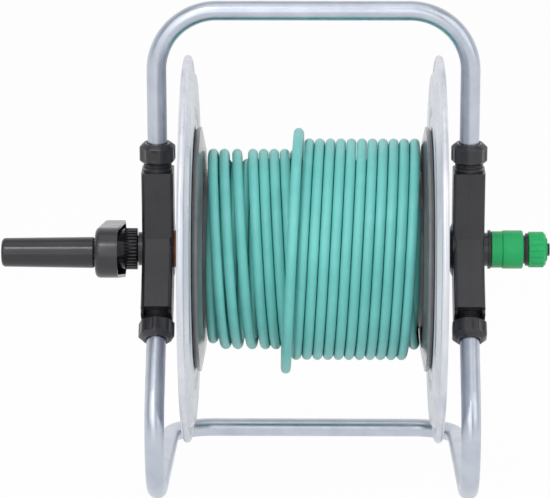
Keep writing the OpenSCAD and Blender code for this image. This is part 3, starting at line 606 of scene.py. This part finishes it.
@dataclass
class Drum:
    """The pressed discs, the spool and what holds them together."""

    def build(self) -> None:
        """Dresses the drum's CAD pieces."""
        dress(ZINC_SHEET, "disc_left", "disc_right")
        dress(SPOOL, "spool_left", "spool_right")
        dress(ZINC_FASTENER, "tie_bolts", "tie_nuts", "hose_clamp")
        dress(ACETAL, "hub_elbow")


@dataclass
class Crank:
    """The crank arm with its ribbed hub, its screw and the turning grip.

    The hub's ribs run from hub_from to hub_to along the axis and sink rib_sunk into the hub. The
    arm is angle degrees above level towards the front; its outer edge has the radius edge_r. A
    point counts as on the arm's outline when it is less than near mm from it.
    """

    hub_r: float = 19.7
    hub_from: float = 172.4
    hub_to: float = 184.2
    hub_ribs: int = 36
    rib_w: float = 1.7
    rib_h: float = 1.2
    rib_sunk: float = 0.54
    rib_round: float = 0.3
    throw: float = 105.0
    angle: float = 6.5
    hub_end_r: float = 28.0
    tip_end_r: float = 24.0
    edge_r: float = 4.8
    edge_steps: int = 5
    near: float = 0.15
    merge: float = 0.001

    def outline(self, at: Vector) -> tuple[float, Vector]:
        """Places a point against the arm's outline, which is two round ends and their tangents.

        Args:
            at: The point seen along the axis, from the hub's middle, with X along the arm.

        Returns:
            How far the point lies outside the outline, and the way out of it there.
        """
        lean = math.asin((self.hub_end_r - self.tip_end_r) / self.throw)
        along = at.x * math.cos(lean) - abs(at.y) * math.sin(lean)
        if along < 0.0:
            return at.length - self.hub_end_r, at.normalized()
        if along > self.throw * math.cos(lean):
            tip = at - Vector((self.throw, 0.0))
            return tip.length - self.tip_end_r, tip.normalized()
        way = Vector((math.sin(lean), math.copysign(math.cos(lean), at.y)))
        return at.dot(way) - self.hub_end_r, way

    def arm(self) -> None:
        """Models the crank arm again from its CAD node, with a soft edge round its outer face."""
        bm = bmesh.new()
        bm.from_mesh(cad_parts["crank_arm"].data)
        bmesh.ops.scale(bm, vec=(1 / MM, 1 / MM, 1 / MM), verts=bm.verts)
        bmesh.ops.remove_doubles(bm, verts=bm.verts, dist=self.merge)
        face_x = min(v.co.x for v in bm.verts)
        place = (Matrix.Translation((0.0, 0.0, HUB_Z))
                 @ Matrix.Rotation(math.radians(180.0 - self.angle), 4, "X"))
        bmesh.ops.transform(bm, matrix=place.inverted(), verts=bm.verts)
        for step in range(self.edge_steps):
            depth = self.edge_r * (1 - math.sin(math.pi / 2 * step / self.edge_steps))
            bmesh.ops.bisect_plane(bm, geom=bm.verts[:] + bm.edges[:] + bm.faces[:],
                                   dist=self.merge / 10, plane_co=(face_x + depth, 0, 0),
                                   plane_no=(1, 0, 0))
        for v in bm.verts:
            deep = face_x + self.edge_r - v.co.x
            past, way = self.outline(v.co.yz)
            if deep > 0.0 and abs(past) < self.near:
                v.co.yz -= way * (self.edge_r - math.sqrt(max(0.0, self.edge_r ** 2 - deep ** 2)))
        bmesh.ops.transform(bm, matrix=place, verts=bm.verts)
        piece = finished("moulded_crank_arm", bm, NYLON, Body.DRUM, sharp=30.0)
        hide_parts("crank_arm")

    def build(self) -> None:
        """Dresses the crank's CAD pieces and models its arm and the ribs of its hub."""
        self.arm()
        dress(GRIP, "grip", "grip_cap")
        dress(ZINC_FASTENER, "crank_screw", "crank_nut", "grip_spindle")
        length = self.hub_to - self.hub_from
        middle = (self.hub_r + self.rib_h / 2 - self.rib_sunk, 0.0, length / 2)
        bm = around(bar((self.rib_h, self.rib_w, length), middle, self.rib_round), self.hub_ribs)
        bmesh.ops.transform(bm, matrix=on_axis(self.hub_from, -1), verts=bm.verts)
        finished("crank_hub_ribs", bm, NYLON, Body.DRUM)


@dataclass
class Connector:
    """The snap hose connector on the inlet."""

    def build(self) -> None:
        """Dresses the connector's CAD pieces."""
        dress(ACETAL, "connector_body", "lock_claws")
        dress(SEAL, "connector_seal")
        dress(GREEN_ABS, "release_collar", "clamp_nut")


@dataclass
class Studio:
    """The photograph's camera, a pale floor and soft light.

    The camera was fitted to the photograph: pitch and yaw are radians below level and to the left,
    and focal_px is the focal length in pixels of a picture frame_px wide. A lamp is a name, its
    place and the length of its sides in mm, and its watts. room gives the soft light's shade from
    the front to the back. Gloss mirrors white where a direction's depth and sky_fall times its
    height add up to more than shown, which gives the start and the end of the change.
    """

    eye: tuple[float, float, float] = (6.415, -3025.26, 692.61)
    pitch: float = 0.1485
    yaw: float = 0.0145
    focal_px: float = 3116.57
    frame_px: float = 550.0
    sensor: float = 36.0
    reach_m: float = 100.0
    floor_m: float = 60.0
    floor_shade: float = 0.86
    floor_share: float = 0.97
    room: tuple[tuple[float, tuple[float, float, float, float]], ...] = (
        (0.0, (0.46, 0.46, 0.48, 1.0)), (0.45, (0.54, 0.55, 0.57, 1.0)),
        (1.0, (0.92, 0.92, 0.92, 1.0)))
    room_strength: float = 0.8
    sky_fall: float = -0.7
    shown: tuple[float, float] = (-0.4, 0.3)
    lamps: tuple[tuple[str, tuple[float, float, float], float, float], ...] = (
        ("left_softbox", (-1500.0, -1900.0, 1500.0), 2200.0, 17.0),
        ("right_softbox", (1900.0, -1500.0, 1300.0), 2200.0, 17.0),
        ("front_softbox", (-300.0, -2700.0, 900.0), 2000.0, 14.0),
        ("top_softbox", (0.0, -900.0, 2300.0), 2200.0, 11.0),
        ("key_softbox", (-600.0, -2000.0, 2040.0), 500.0, 5.0))

    def build(self) -> None:
        """Sets up camera, floor, world and lamps."""
        self.camera()
        self.floor()
        self.world()
        for name, place, size, power in self.lamps:
            self.lamp(name, place, size, power)
        bpy.context.scene.view_settings.view_transform = "Standard"

    def camera(self) -> None:
        """Stands the camera where the photograph was fitted."""
        lens = bpy.data.cameras.new("camera")
        lens.sensor_width = self.sensor
        lens.lens = self.focal_px / self.frame_px * self.sensor
        lens.clip_end = self.reach_m
        camera = bpy.data.objects.new("camera", lens)
        camera.location = Vector(self.eye) * MM
        camera.rotation_euler = (math.pi / 2 - self.pitch, 0.0, self.yaw)
        bpy.context.scene.collection.objects.link(camera)
        bpy.context.scene.camera = camera

    def floor(self) -> None:
        """Lays a plain pale floor that shows nearly white and keeps the shadow."""
        bm = bmesh.new()
        bmesh.ops.create_grid(bm, x_segments=1, y_segments=1, size=self.floor_m / 2)
        mesh = bpy.data.meshes.new("floor")
        bm.to_mesh(mesh)
        bm.free()
        paper = bpy.data.materials.new("pale_paper")
        paper.use_nodes = True
        tree = paper.node_tree
        tree.nodes.clear()
        path = add(tree, "LightPath")
        seen = add(tree, "Math", {"operation": "MAXIMUM"},
                   {0: path.outputs["Is Camera Ray"], 1: path.outputs["Is Glossy Ray"]})
        share = add(tree, "Math", {"operation": "MULTIPLY", 1: self.floor_share},
                    {0: seen.outputs["Value"]})
        matt = add(tree, "BsdfDiffuse", {"Color": (*[self.floor_shade] * 3, 1.0)})
        white = add(tree, "Emission", {"Color": (1.0, 1.0, 1.0, 1.0), "Strength": 1.0})
        both = add(tree, "MixShader", links={"Fac": share.outputs["Value"], 1: matt.outputs["BSDF"],
                                             2: white.outputs["Emission"]})
        add(tree, "OutputMaterial", links={"Surface": both.outputs["Shader"]})
        mesh.materials.append(paper)
        floor = bpy.data.objects.new("floor", mesh)
        bpy.context.scene.collection.objects.link(floor)

    def world(self) -> None:
        """Surrounds the object with white behind it and a dimmer room elsewhere."""
        world = bpy.data.worlds.new("studio")
        bpy.context.scene.world = world
        world.use_nodes = True
        tree = world.node_tree
        tree.nodes.clear()
        path = add(tree, "LightPath")
        way = add(tree, "TexCoord").outputs["Generated"]
        parts = add(tree, "SeparateXYZ", links={"Vector": way})
        depth = add(tree, "MapRange", {"From Min": -1.0, "From Max": 1.0},
                    {"Value": parts.outputs["Y"]})
        room = add(tree, "ValToRGB", {"stops": self.room}, {"Fac": depth.outputs["Result"]})
        soft = add(tree, "Background", {"Strength": self.room_strength},
                   {"Color": room.outputs["Color"]})
        white = add(tree, "Background", {"Color": (1.0, 1.0, 1.0, 1.0), "Strength": 1.0})
        sunk = add(tree, "Math", {"operation": "MULTIPLY_ADD", 1: self.sky_fall},
                   {0: parts.outputs["Z"], 2: parts.outputs["Y"]})
        behind = add(tree, "MapRange", {"From Min": self.shown[0], "From Max": self.shown[1]},
                     {"Value": sunk.outputs["Value"]})
        mirrored = add(tree, "Math", {"operation": "MULTIPLY"},
                       {0: behind.outputs["Result"], 1: path.outputs["Is Glossy Ray"]})
        seen = add(tree, "Math", {"operation": "MAXIMUM"},
                   {0: mirrored.outputs["Value"], 1: path.outputs["Is Camera Ray"]})
        both = add(tree, "MixShader", links={"Fac": seen.outputs["Value"],
                                             1: soft.outputs["Background"],
                                             2: white.outputs["Background"]})
        add(tree, "OutputWorld", links={"Surface": both.outputs["Shader"]})

    def lamp(self, name: str, place: tuple[float, float, float], size: float, power: float) -> None:
        """Hangs a softbox that faces the drum.

        Args:
            name: The lamp's name.
            place: Where it stands, in mm.
            size: The length of its sides, in mm.
            power: Its power in watts.
        """
        light = bpy.data.lights.new(name, "AREA")
        light.size = size * MM
        light.energy = power
        lamp = bpy.data.objects.new(name, light)
        spot = Vector(place)
        lamp.location = spot * MM
        aim = Vector((0.0, 0.0, HUB_Z)) - spot
        lamp.rotation_euler = aim.to_track_quat("-Z", "Y").to_euler()
        bpy.context.scene.collection.objects.link(lamp)


def main() -> None:
    """Builds the studio and each sub-assembly."""
    logging.basicConfig(level=logging.INFO, format="%(name)s: %(message)s")
    Studio().build()
    WoundHose().build()
    TubeFrame().build()
    Drum().build()
    Crank().build()
    Connector().build()
    log.info("sizes written")


if __name__ == "__main__":
    main()
